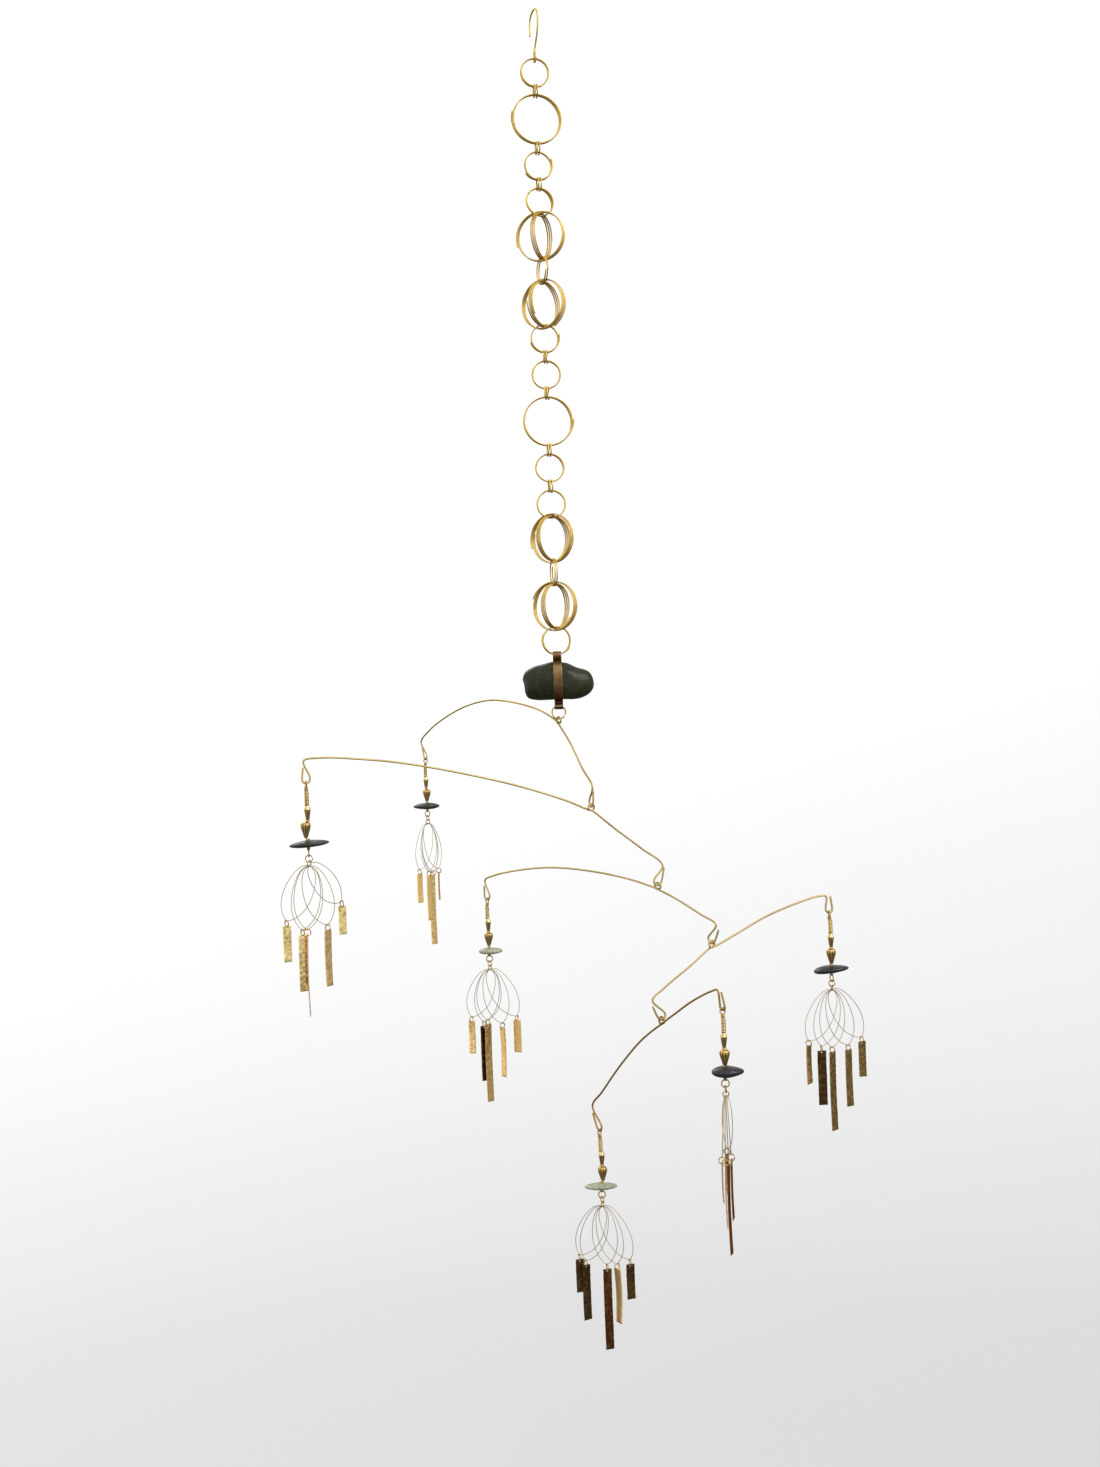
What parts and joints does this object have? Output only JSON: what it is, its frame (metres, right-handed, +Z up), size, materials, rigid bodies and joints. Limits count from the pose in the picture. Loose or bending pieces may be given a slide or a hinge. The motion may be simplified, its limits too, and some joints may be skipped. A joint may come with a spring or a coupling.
{
  "type": "hanging mobile sculpture",
  "caption": "Hanging mobile: a hooked chain of wire rings and a strapped pebble carry balanced wire arms, each ending in a beaded pendant with a stone, wire hoops and hammered metal strips.",
  "frame": {"origin": "the inner top of the hanging hook's crook, the point that bears on the bar it hangs from", "axes": "+Z up, along the hanging line; +X to the right across the front; +Y away from the front"},
  "size_m": [0.4064, 0.3976, 0.9924],
  "materials": {
    "hook_brass": "drawn brass wire, lightly aged, satin",
    "chain_brass": "bright brass wire rings with brown shading between the turns",
    "strap_brass": "copper-brown patina on a flat strip, satin",
    "arm_brass": "brass wire, satin, slightly browned",
    "stem_brass": "antique brass beads and wound wire, dark in the grooves",
    "bright_strips": "bright hammered brass with dents",
    "pale_strips": "pale tan-gold brass strips, one of them dark brown",
    "olive_strips": "olive-bronze patina, one strip nearly black",
    "dark_strips": "dark brown patina, one strip bright gold",
    "dark_pebble": "opaque natural stone, green-black with olive mottling, matte",
    "slate_stone": "opaque natural slate, dark grey, matte",
    "black_stone": "opaque natural stone, black, smooth and slightly glossy",
    "pale_green_stone": "opaque natural stone, pale grey-green with fine specks, matte"
  },
  "bodies": {
    "root": {"hanging_hook": "hook_brass", "chain_small_1": "chain_brass", "chain_small_2": "chain_brass", "chain_small_3": "chain_brass", "chain_small_4": "chain_brass", "chain_small_5": "chain_brass", "chain_small_6": "chain_brass", "chain_small_7": "chain_brass", "chain_small_8": "chain_brass", "chain_jump_1": "chain_brass", "chain_jump_2": "chain_brass", "chain_jump_3": "chain_brass", "chain_jump_4": "chain_brass", "chain_jump_5": "chain_brass", "chain_jump_6": "chain_brass", "chain_jump_7": "chain_brass", "chain_large_1": "chain_brass", "chain_large_2": "chain_brass", "chain_joiner_1": "chain_brass", "chain_joiner_2": "chain_brass", "chain_cage_1_outer": "chain_brass", "chain_cage_1_inner": "chain_brass", "chain_cage_2_outer": "chain_brass", "chain_cage_2_inner": "chain_brass", "chain_cage_3_outer": "chain_brass", "chain_cage_3_inner": "chain_brass", "chain_cage_4_outer": "chain_brass", "chain_cage_4_inner": "chain_brass", "pebble": "dark_pebble", "pebble_strap": "strap_brass", "strap_ring": "hook_brass", "arm_1": "arm_brass", "arm_2": "arm_brass", "arm_3": "arm_brass", "arm_4": "arm_brass", "arm_5": "arm_brass", "pendant_a_stem": "stem_brass", "pendant_a_stone": "slate_stone", "pendant_a_link": "chain_brass", "pendant_a_fringe": "bright_strips", "pendant_b_stem": "stem_brass", "pendant_b_stone": "slate_stone", "pendant_b_link": "chain_brass", "pendant_b_fringe": "pale_strips", "pendant_c_stem": "stem_brass", "pendant_c_stone": "pale_green_stone", "pendant_c_link": "chain_brass", "pendant_c_fringe": "pale_strips", "pendant_d_stem": "stem_brass", "pendant_d_stone": "black_stone", "pendant_d_link": "chain_brass", "pendant_d_fringe": "olive_strips", "pendant_e_stem": "stem_brass", "pendant_e_stone": "black_stone", "pendant_e_link": "chain_brass", "pendant_e_fringe": "dark_strips", "pendant_f_stem": "stem_brass", "pendant_f_stone": "pale_green_stone", "pendant_f_link": "chain_brass", "pendant_f_fringe": "dark_strips"}
  },
  "joints": []
}
